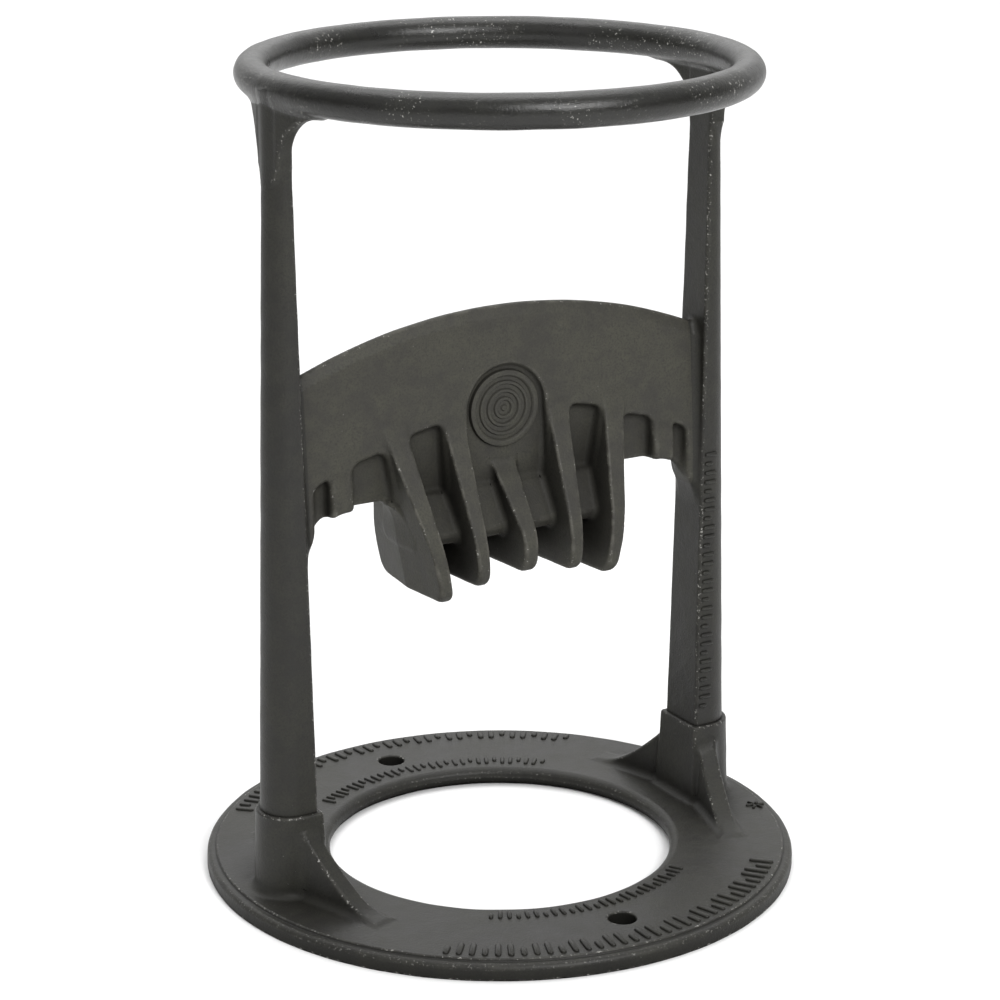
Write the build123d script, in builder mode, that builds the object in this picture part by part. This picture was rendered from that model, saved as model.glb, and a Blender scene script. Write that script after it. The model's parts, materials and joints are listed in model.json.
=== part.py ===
from build123d import *
import math
import os

# Kindling splitter: a cast-iron stand. A log stands on the splitting web inside the hoop
# and is driven down onto the edge with a mallet.
#
# Frame: origin at the middle of the foot ring's underside, +Z up, posts on the X axis,
# splitting web in the XZ plane. Millimetres. The casting has no fixings, so the sub-parts
# are its natural features, cut so that they meet face to face.

# --- driving dimensions ---------------------------------------------------------------
height = 305.0

# foot ring
ring_outer_r = 110.8
ring_inner_r = 64.5
ring_t = 7.0
ledge_w = 3.4                       # lower ledge round the rim
ledge_drop = 1.0
rim_fillet = 2.0
lip_fillet = 2.6
bolt_hole_r = 5.1
bolt_hole_pitch_r = 86.0

# hoop
hoop_r = 87.3                       # middle of the bar
hoop_bar_r = 6.1

# posts: D-shaped section, flat inwards, half-round outwards, tapering upwards
post_foot_z = 38.0
post_top_z = 266.0
post_foot = (82.0, 99.4, 10.5)      # flat, outer face, half width
post_top = (85.4, 93.4, 7.3)
socket_step = 1.6                   # how far the socket stands proud of the post
socket_flare = 1.0                  # how much the socket widens down to the ring
saddle_flare_r = 19.0               # flare of a post's head along the hoop
saddle_drop = 0.6                   # the flare ends this far under the bar's lowest line
saddle_outer_r = 92.0               # inside the bar's outer face, so that it ends under it

# gussets, two at each socket
gusset_top_z = 31.0
gusset_t = 7.2
gusset_flat = 6.0                   # level crest before the hollow curve
gusset_middle = (0.52, 16.6)        # a point of the curve: share of the run, height
gusset_start = (88.0, 6.0)          # middle of the rib, from the axes
gusset_end = (75.5, 46.0)

# splitting web
edge_z = 214.0                      # top of the edge on the centre line
edge_r = 215.5                      # the edge is an arc
edge_half_t = 1.1
bevel_h = 4.5
bevel_half_t = 2.9
wedge_h = 36.0                      # the web reaches its full thickness this far down
web_half_t = 6.0
web_bottom_z = 147.7
arch_r = 15.0                       # arches where the web meets the posts
arch_x = 65.3
arch_turn = math.radians(30)        # the arch turns this close to upright, then runs straight
arch_foot_z = 131.5

# hollows in both faces of the web: right-hand outlines, from the front
pocket_floor_half_t = 1.6           # half of what is left of the web
pocket_outlines = (
    ((24.0, 140.0), (36.5, 140.0), (42.0, 171.8), (26.2, 174.6)),
    ((43.0, 140.0), (63.8, 140.0), (63.8, 164.5), (48.6, 167.6)),
    ((72.0, 128.0), (79.0, 128.0), (79.0, 158.0), (72.0, 161.0)),
)
dome_floor_half_t = 2.5
dome_z = 176.0                      # middle of the domed recess and of its badge
dome_r = 16.4
dome_foot = (20.0, 140.0)           # half width and height of the recess's lower end
badge_r = 14.6
badge_h = 1.4
badge_rim_w = 2.2
badge_boss_r = 4.0
badge_sink = 0.7

# fins, left to right: middle plane at the reference height, lean, lowest point, half
# thickness on the parting line, then where the working edge leaves the web (depth, height)
# and the height at which it reaches the fin's full depth
fin_ref_z = 126.0
fin_layout = {
    "fin_1": (-37.0, -0.19, 112.2, 4.8, (5.7, 172.3), 129.2),
    "fin_2": (-19.8, -0.045, 115.8, 4.7, (5.7, 172.3), 129.2),
    "fin_3": (0.0, 0.0, 118.2, 5.1, (2.0, 156.8), 131.7),
    "fin_4": (19.8, 0.045, 115.8, 4.7, (5.7, 172.3), 129.2),
    "fin_5": (37.0, 0.19, 112.2, 4.8, (5.7, 172.3), 129.2),
}
fin_reach = 23.6                    # full depth, front and rear
fin_tip_r = 5.8
fin_draft = 0.095                   # how fast a fin thins from its parting line outwards
fin_crown = 2.0                     # height of a fin's top above the start of its edge

# throats: the ramps that join neighbouring fins under the web, as half a section
throat_section = ((10.6, 130.5), (12.2, 134.2), (4.0, web_bottom_z))
shoulder_r = 12.4                   # hollow outside the outer fins
shoulder_x = 42.4
shoulder_foot = 1.0                 # how far its lower end leans in

# end ribs, one at each end of the web, as half a section
end_rib_x = (64.0, 72.0)
end_rib_section = ((6.8, web_bottom_z), (6.8, 157.5), (2.0, 165.0))

os.makedirs("parts", exist_ok=True)


def save(part, name):
    """Label a finished piece and write it."""
    part.label = name
    export_step(part, f"parts/{name}.step")


def both_halves(half_section):
    """A symmetric outline from its right half, listed upwards."""
    return [*half_section, *((-u, v) for u, v in reversed(half_section))]


def d_bar(side, low_z, low, high_z, high):
    """Upright bar of D-shaped section, flat towards the middle. low and high are its sections
    at its two ends: how far out the flat and the outer face are, and the half width."""
    with BuildPart() as bar:
        for z, (flat_x, outer_x, half_w) in ((low_z, low), (high_z, high)):
            shoulder = side * (outer_x - half_w)
            with BuildSketch(Plane.XY.offset(z)):
                with BuildLine():
                    Line((side * flat_x, -half_w), (shoulder, -half_w))
                    ThreePointArc((shoulder, -half_w), (side * outer_x, 0), (shoulder, half_w))
                    Line((shoulder, half_w), (side * flat_x, half_w))
                    Line((side * flat_x, half_w), (side * flat_x, -half_w))
                make_face()
        loft(ruled=True)
    return bar.part


def grown(section, by):
    """A D-shaped section made wider all round."""
    flat_x, outer_x, half_w = section
    return (flat_x - by, outer_x + by, half_w + by)


# --- foot ring ------------------------------------------------------------------------
with BuildPart() as base_ring:
    with BuildSketch(Plane.XZ) as ring_section:
        with BuildLine():
            Polyline(
                (ring_inner_r, 0),
                (ring_outer_r, 0),
                (ring_outer_r, ring_t - ledge_drop),
                (ring_outer_r - ledge_w, ring_t - ledge_drop),
                (ring_outer_r - ledge_w, ring_t),
                (ring_inner_r, ring_t),
                close=True,
            )
        make_face()
        corners = ring_section.vertices()
        rim_corner = corners.sort_by_distance((ring_outer_r, ring_t - ledge_drop))[0]
        lip_corner = corners.sort_by_distance((ring_inner_r, ring_t))[0]
        fillet(rim_corner, rim_fillet)
        fillet(lip_corner, lip_fillet)
    revolve(axis=Axis.Z)
    with Locations((0, bolt_hole_pitch_r, 0), (0, -bolt_hole_pitch_r, 0)):
        Cylinder(bolt_hole_r, 3 * ring_t, mode=Mode.SUBTRACT)
save(base_ring.part, "base_ring")

# --- hoop -----------------------------------------------------------------------------
hoop_z = height - hoop_bar_r
with BuildPart() as hoop:
    with Locations((0, 0, hoop_z)):
        Torus(hoop_r, hoop_bar_r)
save(hoop.part, "hoop")

# --- posts, their foot sockets and saddles --------------------------------------------
sockets = {}
for side, side_name in ((-1, "left"), (1, "right")):
    save(d_bar(side, post_foot_z, post_foot, post_top_z, post_top), f"{side_name}_post")
    sockets[side_name] = d_bar(
        side,
        ring_t,
        grown(post_foot, socket_step + socket_flare),
        post_foot_z,
        grown(post_foot, socket_step),
    )
    save(sockets[side_name], f"{side_name}_foot_socket")

    # The saddle is a length of upright band that flares along the hoop's underside.
    flat_x, outer_x, half_w = post_top
    flare_top_z = hoop_z - hoop_bar_r - saddle_drop
    flare_z = flare_top_z - saddle_flare_r
    wide = half_w + saddle_flare_r
    with BuildPart() as saddle:
        with BuildSketch(Plane.YZ):
            with BuildLine():
                for y_side in (-1, 1):
                    foot = (y_side * half_w, post_top_z)
                    neck = (y_side * half_w, flare_z)
                    tip = (y_side * wide, flare_top_z)
                    Line(foot, neck)
                    RadiusArc(neck, tip, y_side * saddle_flare_r)
                    Line(tip, (y_side * wide, hoop_z))
                Line((-half_w, post_top_z), (half_w, post_top_z))
                Line((-wide, hoop_z), (wide, hoop_z))
            make_face()
        extrude(amount=side * (outer_x + hoop_bar_r))
        with BuildSketch(Plane.XY.offset(post_top_z)):
            Circle(saddle_outer_r)
            Circle(flat_x, mode=Mode.SUBTRACT)
        extrude(amount=hoop_z - post_top_z, mode=Mode.INTERSECT)
        with Locations((0, 0, hoop_z)):
            Torus(hoop_r, hoop_bar_r, mode=Mode.SUBTRACT)
    save(saddle.part, f"{side_name}_hoop_saddle")

# --- gussets --------------------------------------------------------------------------
for side, side_name in ((-1, "left"), (1, "right")):
    for y_side, y_name in ((-1, "front"), (1, "rear")):
        start = Vector(side * gusset_start[0], y_side * gusset_start[1], 0)
        end = Vector(side * gusset_end[0], y_side * gusset_end[1], 0)
        run = (end - start).length
        along = (end - start).normalized()
        rib_plane = Plane(origin=start, x_dir=along, z_dir=along.cross(Vector(0, 0, 1)))
        crest = (gusset_flat, gusset_top_z)
        hollow = (gusset_middle[0] * run, gusset_middle[1])
        with BuildPart() as gusset:
            with BuildSketch(rib_plane):
                with BuildLine():
                    Line((0, ring_t), (0, gusset_top_z))
                    Line((0, gusset_top_z), crest)
                    ThreePointArc(crest, hollow, (run, ring_t))
                    Line((run, ring_t), (0, ring_t))
                make_face()
            extrude(amount=gusset_t / 2, both=True)
            add(sockets[side_name], mode=Mode.SUBTRACT)
        save(gusset.part, f"{side_name}_{y_name}_gusset")

# --- fins -----------------------------------------------------------------------------
fins = {}
tip_turn = fin_tip_r * (1 - math.sqrt(0.5))
for fin_name, (fin_x, lean, low_z, mid_half_t, edge_start, full_z) in fin_layout.items():
    # heights along a leaning fin are a little longer than upright ones
    slant = math.hypot(1, lean)
    side_view = Plane(origin=(fin_x, 0, fin_ref_z), x_dir=(0, 1, 0), z_dir=(1, 0, -lean))
    plan_view = Plane(origin=(fin_x, 0, fin_ref_z), x_dir=(1, 0, -lean), z_dir=(lean, 0, 1))
    low = slant * (low_z - fin_ref_z)
    full = slant * (full_z - fin_ref_z)
    head_y = edge_start[0]
    head = slant * (edge_start[1] - fin_ref_z)
    with BuildPart() as fin:
        with BuildSketch(side_view):
            with BuildLine():
                Line((0, low), (fin_reach - fin_tip_r, low))
                ThreePointArc(
                    (fin_reach - fin_tip_r, low),
                    (fin_reach - tip_turn, low + tip_turn),
                    (fin_reach, low + fin_tip_r),
                )
                Line((fin_reach, low + fin_tip_r), (fin_reach, full))
                Line((fin_reach, full), (head_y, head))
                Line((head_y, head), (0, head + fin_crown))
                mirror(about=Plane.YZ)
            make_face()
        extrude(amount=2 * mid_half_t, both=True)
        # thick at the parting line, thinner towards the two working edges
        edge_half = mid_half_t - fin_draft * fin_reach
        with BuildSketch(plan_view):
            Polygon(
                (mid_half_t, 0),
                (edge_half, fin_reach),
                (-edge_half, fin_reach),
                (-mid_half_t, 0),
                (-edge_half, -fin_reach),
                (edge_half, -fin_reach),
                align=None,
            )
        extrude(amount=edge_z, both=True, mode=Mode.INTERSECT)
    fins[fin_name] = fin.part
    save(fin.part, fin_name)

# --- end ribs -------------------------------------------------------------------------
end_ribs = {}
for side, side_name in ((-1, "left"), (1, "right")):
    with BuildPart() as end_rib:
        with BuildSketch(Plane.YZ.offset(side * end_rib_x[0])):
            Polygon(*both_halves(end_rib_section), align=None)
        extrude(amount=side * (end_rib_x[1] - end_rib_x[0]))
        with BuildSketch(Plane.XZ):
            with Locations((side * arch_x, web_bottom_z - arch_r)):
                Circle(arch_r)
        extrude(amount=arch_r, both=True, mode=Mode.SUBTRACT)
    end_ribs[side_name] = end_rib.part
    save(end_rib.part, f"{side_name}_end_rib")

# --- splitting web --------------------------------------------------------------------
edge_centre_z = edge_z - edge_r
post_slope = (post_top[0] - post_foot[0]) / (post_top_z - post_foot_z)


def flat_at(z):
    """How far out the posts' flat inner faces are at a height."""
    return post_foot[0] + post_slope * (z - post_foot_z)


def on_arch(side, turn):
    """A point of the arch beside a post, this far round from level."""
    arch_z = web_bottom_z - arch_r
    return (side * (arch_x + arch_r * math.cos(turn)), arch_z + arch_r * math.sin(turn))


wedge_section = (
    (web_half_t, 0.0),
    (web_half_t, edge_z - wedge_h),
    (bevel_half_t, edge_z - bevel_h),
    (edge_half_t, edge_z),
)
with BuildPart() as web:
    # the wedge: its section turned about the middle of the edge's arc
    with BuildSketch(Plane.YZ):
        Polygon(*both_halves(wedge_section), align=None)
    revolve(axis=Axis((0, 0, edge_centre_z), (0, 1, 0)), revolution_arc=360)
    # the front view
    with BuildSketch(Plane.XZ):
        with BuildLine():
            for side in (-1, 1):
                foot = (side * flat_at(arch_foot_z), arch_foot_z)
                arch_end = on_arch(side, arch_turn)
                arch_middle = on_arch(side, (arch_turn + math.pi / 2) / 2)
                Line((side * flat_at(edge_z), edge_z), foot)
                Line(foot, arch_end)
                ThreePointArc(arch_end, arch_middle, (side * arch_x, web_bottom_z))
            Line((-arch_x, web_bottom_z), (arch_x, web_bottom_z))
            Line((-flat_at(edge_z), edge_z), (flat_at(edge_z), edge_z))
        make_face()
    extrude(amount=2 * web_half_t, both=True, mode=Mode.INTERSECT)
    # pockets and the domed recess, front and rear
    for y_side in (-1, 1):
        with BuildSketch(Plane.XZ.offset(-y_side * pocket_floor_half_t)):
            for outline in pocket_outlines:
                Polygon(*outline, align=None)
                Polygon(*((-x, z) for x, z in outline), align=None)
        extrude(amount=-y_side * web_half_t, mode=Mode.SUBTRACT)
        with BuildSketch(Plane.XZ.offset(-y_side * dome_floor_half_t)):
            with Locations((0, dome_z)):
                Circle(dome_r)
            Polygon(*both_halves((dome_foot, (dome_r, dome_z))), align=None)
        extrude(amount=-y_side * web_half_t, mode=Mode.SUBTRACT)
    for cutter in [*fins.values(), *end_ribs.values()]:
        add(cutter, mode=Mode.SUBTRACT)
save(web.part, "splitting_web")

# --- badges ---------------------------------------------------------------------------
for y_side, y_name in ((-1, "front"), (1, "rear")):
    with BuildPart() as badge:
        with BuildSketch(Plane.XZ.offset(-y_side * dome_floor_half_t)):
            with Locations((0, dome_z)):
                Circle(badge_r)
        extrude(amount=-y_side * badge_h)
        with BuildSketch(Plane.XZ.offset(-y_side * (dome_floor_half_t + badge_h))):
            with Locations((0, dome_z)):
                Circle(badge_r - badge_rim_w)
                Circle(badge_boss_r, mode=Mode.SUBTRACT)
        extrude(amount=y_side * badge_sink, mode=Mode.SUBTRACT)
    save(badge.part, f"{y_name}_badge")

# --- throats and shoulders ------------------------------------------------------------
with BuildPart() as throats:
    throat_bottom_z = throat_section[0][1]
    with BuildSketch(Plane.XZ):
        with BuildLine():
            for side in (-1, 1):
                foot = (side * (shoulder_x - shoulder_foot), throat_bottom_z)
                low = (side * shoulder_x, web_bottom_z - shoulder_r)
                high = (side * (shoulder_x + shoulder_r), web_bottom_z)
                Line(foot, low)
                RadiusArc(low, high, side * shoulder_r)
            Line(
                (-shoulder_x + shoulder_foot, throat_bottom_z),
                (shoulder_x - shoulder_foot, throat_bottom_z),
            )
            Line(
                (-shoulder_x - shoulder_r, web_bottom_z),
                (shoulder_x + shoulder_r, web_bottom_z),
            )
        make_face()
    extrude(amount=fin_reach, both=True)
    with BuildSketch(Plane.YZ):
        Polygon(*both_halves(throat_section), align=None)
    extrude(amount=ring_outer_r, both=True, mode=Mode.INTERSECT)
    for cutter in fins.values():
        add(cutter, mode=Mode.SUBTRACT)
throat_names = ["left_shoulder", "throat_1", "throat_2", "throat_3", "throat_4", "right_shoulder"]
for name, block in zip(throat_names, throats.part.solids().sort_by(Axis.X)):
    save(block, name)
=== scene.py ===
import json
import math
from collections import namedtuple

import bpy
import numpy as np
from mathutils import Matrix, Vector


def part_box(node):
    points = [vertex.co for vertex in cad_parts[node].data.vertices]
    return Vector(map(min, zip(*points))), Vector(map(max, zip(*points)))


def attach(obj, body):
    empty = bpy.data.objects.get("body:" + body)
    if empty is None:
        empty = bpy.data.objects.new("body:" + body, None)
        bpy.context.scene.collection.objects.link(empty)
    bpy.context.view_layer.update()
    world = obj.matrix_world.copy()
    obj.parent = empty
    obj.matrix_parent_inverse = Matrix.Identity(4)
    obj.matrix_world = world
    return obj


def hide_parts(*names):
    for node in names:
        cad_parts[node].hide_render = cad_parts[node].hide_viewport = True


# A cast-iron kindling splitter. The CAD solids say where everything is; here each one is
# replaced by a cast-looking mesh of the same feature, with the fillets, drafts and rounded
# edges of a sand casting. The whole casting is one distance field in millimetres, and each
# piece is the part of it inside that piece's region, so neighbours meet without a gap.

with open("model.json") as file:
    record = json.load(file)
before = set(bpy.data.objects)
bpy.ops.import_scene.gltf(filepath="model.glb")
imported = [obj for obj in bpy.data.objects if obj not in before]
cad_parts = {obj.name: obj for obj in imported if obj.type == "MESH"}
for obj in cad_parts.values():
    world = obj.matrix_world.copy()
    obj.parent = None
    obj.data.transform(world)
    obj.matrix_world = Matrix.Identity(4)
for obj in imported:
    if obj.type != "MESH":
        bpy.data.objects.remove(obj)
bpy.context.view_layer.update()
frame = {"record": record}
MM = 0.001

# --- dimensions, in millimetres; those of whole CAD nodes come from the frame -----------


def box_mm(node):
    """A CAD node's lowest and highest corners in millimetres."""
    low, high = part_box(node)
    return np.array(low) / MM, np.array(high) / MM


ring_low, ring_high = box_mm("base_ring")
RING_R = ring_high[0]
RING_T = ring_high[2]
HOLE_R = 64.5
LEDGE_W = 3.4
LEDGE_DROP = 1.0
BOLT_R = 5.1
BOLT_PITCH_R = 86.0

hoop_low, hoop_high = box_mm("hoop")
BAR_R = (hoop_high[2] - hoop_low[2]) / 2
HOOP_R = hoop_high[0] - BAR_R
HOOP_Z = hoop_high[2] - BAR_R

post_low, post_high = box_mm("right_post")
SEAM_Z = post_low[2]
POST_TOP_Z = post_high[2]
POST_FOOT = (post_low[0], post_high[0], post_high[1])   # flat, outer face, half width
POST_HEAD = (85.4, 93.4, 7.3)
SOCKET_STEP = 1.6
SOCKET_FLARE = 1.0

web_low, web_high = box_mm("splitting_web")
EDGE_Z = web_high[2]
EDGE_R = 215.5
WEB_BOTTOM_Z = 147.7
ARCH_X = 65.3
ARCH_R = 15.0
FLOOR = 2.5                    # half of what is left of the web in the domed recess
SIDE_FLOOR = 1.6               # and in the pockets
WEB_HALF_T = 6.0
POCKET_DRAFT = 0.22
DOME_Z = 176.0
DOME_R = 16.4

FIN_REF_Z = 126.0
FIN_REACH = 23.6
FIN_CUT_Z = 167.5
# middle plane and lean, lowest point, half thickness on the parting line, then the working
# edge: where it leaves the web (depth, height), its flare downwards, and the fin's top
Fin = namedtuple("Fin", "x lean low half_t edge_y edge_z flare top_z")
FINS = {
    "fin_1": Fin(-37.0, -0.19, 112.2, 4.8, 5.7, 172.3, 0.415, 178.0),
    "fin_2": Fin(-19.8, -0.045, 115.8, 4.7, 5.7, 172.3, 0.415, 178.0),
    "fin_3": Fin(0.0, 0.0, 118.2, 5.1, 4.0, 154.5, 0.86, 156.8),
    "fin_4": Fin(19.8, 0.045, 115.8, 4.7, 5.7, 172.3, 0.415, 178.0),
    "fin_5": Fin(37.0, 0.19, 112.2, 4.8, 5.7, 172.3, 0.415, 178.0),
}

# the foot ring: its outer edges and the hole's wall
RIM_R = 2.2
LIP_R = 2.6
HOLE_DRAFT = 0.26              # the hole widens up and down from a parting line
PLATEAU_EDGE_R = 0.6
LEDGE_FILLET = 0.5
UNDERSIDE_EDGE_R = 0.5
BOLT_EDGE_R = 0.7

# the gussets, on one side: where their middle lines start and end, in x and y
GUSSET_START = (88.0, 6.0)
GUSSET_END = (75.5, 46.0)
GUSSET_TOP_Z = 31.0
GUSSET_FLAT = 6.0              # how far their crest is level before it falls
GUSSET_CURVE = 1.6             # the power of its fall: above 1 is hollow
GUSSET_HALF_T = 3.6
GUSSET_DRAFT = 0.06
GUSSET_EDGE_R = 1.1
GUSSET_FILLET = 2.5
FOOT_FILLET = 3.0

# the posts, and the wings at their heads
POST_EDGE_R = 1.3
POST_OVERRUN = 8.0             # how far above their tops they still taper
SOCKET_EDGE_R = 0.9
WING_R = 89.2
WING_HALF_T = 2.9
WING_FLARE_R = 19.0
WING_ROOT = 7.4                # half width where the wings' flare starts
WING_TAPER = 0.5               # how fast they narrow below it, into the post
WING_INWARDS = 1.6             # how far their ends lie inwards
WING_THINNED = 1.9             # how much thinner their ends are
WING_DROP = 0.6                # how far under the hoop the flare ends
WING_EDGE_R = 1.2
WING_FILLET = 1.2
HOOP_FILLET = 2.0

# the web: half thicknesses at depths below its edge
WEDGE_DEPTH = (0.0, 4.2, 34.0, 44.0, 60.0, 110.0)
WEDGE_HALF_T = (1.1, 2.9, 5.4, 6.0, 6.6, 7.0)
WEDGE_EDGE_R = 0.8
WEB_FOOT_R = 2.0
WEB_ROOT = 4.0                 # how deep it runs into the posts
ARCH_TURN = math.radians(30)   # where an arch's curve runs out into its straight leg
# the right-hand pockets: their corners in x and z, and the corners' radius
POCKETS = (
    ([(24.0, 140.0), (36.5, 140.0), (41.2, 171.8), (26.2, 174.6)], 4.0),
    ([(44.0, 140.0), (63.8, 140.0), (63.8, 164.5), (49.7, 167.6)], 4.0),
    ([(72.0, 130.0), (79.0, 130.0), (79.0, 158.0), (72.0, 161.0)], 2.5),
)
POCKET_EDGE_R = 1.5
POCKET_FLOOR_R = 2.0
DOME_FOOT = (20.0, 140.0)      # the recess's half width and height at its lower end
DOME_SIDE_R = 0.5
DOME_FLOOR_R = 1.3

# the end ribs and the ramps, as sections in y and z; they run on behind the web's face
INSIDE_Y = -9.0
END_RIB_X = 68.0
END_RIB_HALF_T = 4.0
END_RIB_SECTION = [(INSIDE_Y, 140.0), (6.8, 140.0), (6.8, 157.5), (2.0, 165.0), (INSIDE_Y, 165.0)]
END_RIB_CORNER_R = 3.0
END_RIB_EDGE_R = 1.4
RAMP_SECTION = [(INSIDE_Y, 130.5), (10.6, 130.5), (12.2, 134.2), (3.6, 148.4), (INSIDE_Y, 148.4)]
RAMP_CORNER_R = 1.1
RAMP_EDGE_R = 1.0
SHOULDER_R = 12.4              # the hollow ends of the outer ramps, and where they start
SHOULDER_X = 42.4
SHOULDER_REACH = 6.0
HEAD_FILLET = 2.0
POST_FILLET = 3.2              # between the web and the posts

FIN_DRAFT = 0.095
FIN_TOP_R = 1.6
FIN_KNEE_R = 3.5               # between a fin's working edge and its tip
FIN_TIP_R = 5.8
FIN_EDGE_R = (2.2, 0.8)        # along its edges, at its lowest point and higher up
FIN_EDGE_RISE = 16.0           # over which height that changes
FIN_FILLET = 1.9
BADGE_R = 14.6

# where the casting is divided: always across a wall, never along one
FOOT_CUT_Z = 10.5
SOCKET_MARGIN = 1.4
WEB_CUT_X = 81.2
BAR_MARGIN = 1.2
CORNER_REACH = 0.4             # points this near a second cut are taken into the corner
FIN_MARGIN = 1.2
FIN_TOP_MARGIN = 3.5
LEG_CUT_X = 60.0
RAMP_END_X = 62.0

# --- camera, light and floor, in metres -------------------------------------------------
CAMERA_AZ_EL = (-30.6, 17.25)
CAMERA_DISTANCE = 1.1019
CAMERA_HEIGHT = 0.1401         # of the point that it looks at
CAMERA_ASIDE = 0.00013
FLOOR_HALF = 6.0
# the sky's bright parts: direction, where along it the light starts and is full, brightness
SKY = (((0, 0, 1), 0.0, 0.85, 0.62), ((0.5, 0.85, 0.15), 0.1, 0.85, 0.75))
SKY_DIM = 0.03                 # what each part still gives elsewhere


def look_from(azimuth, elevation):
    """Right, up and back directions of a camera at this azimuth and elevation."""
    a, e = math.radians(azimuth), math.radians(elevation)
    back = Vector((math.sin(a) * math.cos(e), -math.cos(a) * math.cos(e), math.sin(e)))
    right = Vector((math.cos(a), math.sin(a), 0))
    return right, back.cross(right), back


def make_camera():
    right, up, back = look_from(*CAMERA_AZ_EL)
    data = bpy.data.cameras.new("camera")
    data.lens = 108.0
    data.sensor_width = 36.0
    camera = bpy.data.objects.new("camera", data)
    turn = Matrix((right, up, back)).transposed().to_4x4()
    middle = Vector((0, 0, CAMERA_HEIGHT)) + right * CAMERA_ASIDE
    camera.matrix_world = Matrix.Translation(middle + back * CAMERA_DISTANCE) @ turn
    bpy.context.scene.collection.objects.link(camera)
    bpy.context.scene.camera = camera


def area_light(name, place, size, power, aim_at=(0, 0, 0.14)):
    data = bpy.data.lights.new(name, "AREA")
    data.shape = "RECTANGLE"
    data.size, data.size_y = size
    data.energy = power
    light = bpy.data.objects.new(name, data)
    light.location = place
    aim = Vector(aim_at) - Vector(place)
    light.rotation_euler = aim.to_track_quat("-Z", "Y").to_euler()
    bpy.context.scene.collection.objects.link(light)


def make_stage():
    data = bpy.data.meshes.new("floor")
    corners = [(x * FLOOR_HALF, y * FLOOR_HALF, 0) for x, y in ((-1, -1), (1, -1), (1, 1), (-1, 1))]
    data.from_pydata(corners, [], [(0, 1, 2, 3)])
    floor = bpy.data.objects.new("floor", data)
    bpy.context.scene.collection.objects.link(floor)
    paint = bpy.data.materials.new("floor_paint")
    paint.use_nodes = True
    shader = paint.node_tree.nodes["Principled BSDF"]
    shader.inputs["Base Color"].default_value = (0.88, 0.88, 0.88, 1)
    shader.inputs["Roughness"].default_value = 0.85
    shader.inputs["Specular IOR Level"].default_value = 0.1
    data.materials.append(paint)
    make_sky()
    area_light("key", (0.0, -1.5, 1.15), (0.7, 0.7), 24)
    area_light("fill", (-1.3, -0.5, 0.9), (0.5, 1.2), 1.5)
    area_light("top", (0.1, 0.4, 1.7), (1.4, 1.0), 13)
    area_light("backdrop", (1.1, 2.4, 1.5), (3.0, 1.6), 20, aim_at=(1.1, 2.4, 0))
    bpy.context.scene.view_settings.view_transform = "Standard"


def make_sky():
    """A white studio: bright overhead and behind the splitter, dimmer round the horizon."""
    world = bpy.data.worlds.new("studio")
    world.use_nodes = True
    tree = world.node_tree
    way = tree.nodes.new("ShaderNodeTexCoord").outputs["Generated"]
    parts = []
    for direction, low, high, bright in SKY:
        along = tree.nodes.new("ShaderNodeVectorMath")
        along.operation = "DOT_PRODUCT"
        along.inputs[1].default_value = direction
        tree.links.new(way, along.inputs[0])
        grade = tree.nodes.new("ShaderNodeMapRange")
        grade.interpolation_type = "SMOOTHSTEP"
        grade.inputs["From Min"].default_value = low
        grade.inputs["From Max"].default_value = high
        grade.inputs["To Min"].default_value = SKY_DIM
        grade.inputs["To Max"].default_value = bright
        tree.links.new(along.outputs["Value"], grade.inputs["Value"])
        parts.append(grade.outputs["Result"])
    both = tree.nodes.new("ShaderNodeMath")
    both.operation = "ADD"
    tree.links.new(parts[0], both.inputs[0])
    tree.links.new(parts[1], both.inputs[1])
    tree.nodes["Background"].inputs["Color"].default_value = (1, 1, 1, 1)
    tree.links.new(both.outputs["Value"], tree.nodes["Background"].inputs["Strength"])
    bpy.context.scene.world = world


# --- distance fields --------------------------------------------------------------------
# Each takes arrays of x, y and z in millimetres and gives the distance to a surface,
# negative inside the iron.


def join(a, b, r):
    """Union with an inner fillet of radius r."""
    fillet = np.hypot(np.maximum(r - a, 0), np.maximum(r - b, 0))
    return np.maximum(r, np.minimum(a, b)) - fillet


def meet(a, b, r):
    """Intersection with an outer edge rounded to radius r."""
    rounding = np.hypot(np.maximum(r + a, 0), np.maximum(r + b, 0))
    return np.minimum(-r, np.maximum(a, b)) + rounding


def slope_through(u, v, start, end):
    """Distance from the line through two points of the u, v plane, positive on its left."""
    du, dv = end[0] - start[0], end[1] - start[1]
    return ((v - start[1]) * du - (u - start[0]) * dv) / math.hypot(du, dv)


def polygon(u, v, corners, r):
    """A convex outline, corners anticlockwise, with its corners rounded to radius r."""
    field = None
    for start, end in zip(corners, corners[1:] + corners[:1]):
        side = -slope_through(u, v, start, end)
        field = side if field is None else meet(field, side, r)
    return field


def post_section(z):
    """How far out a post's flat and outer face are at a height, and its half width."""
    t = (z - SEAM_Z) / (POST_TOP_Z - SEAM_Z)
    return [low + (high - low) * t for low, high in zip(POST_FOOT, POST_HEAD)]


def d_bar(x, y, flat, outer, half, r):
    """Upright bar, flat towards the middle and half-round outwards."""
    u = np.abs(x)
    round_side = np.hypot(np.maximum(u - (outer - half), 0), y) - half
    return meet(round_side, flat - u, r)


def post(x, y, z):
    flat, outer, half = post_section(np.minimum(z, POST_TOP_Z + POST_OVERRUN))
    return d_bar(x, y, flat, outer, half, POST_EDGE_R)


def socket(x, y, z):
    grow = SOCKET_STEP + SOCKET_FLARE * (SEAM_Z - z) / (SEAM_Z - RING_T)
    flat, outer, half = POST_FOOT
    sides = d_bar(x, y, flat - grow, outer + grow, half + grow, POST_EDGE_R)
    return meet(sides, z - SEAM_Z, SOCKET_EDGE_R)


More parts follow.
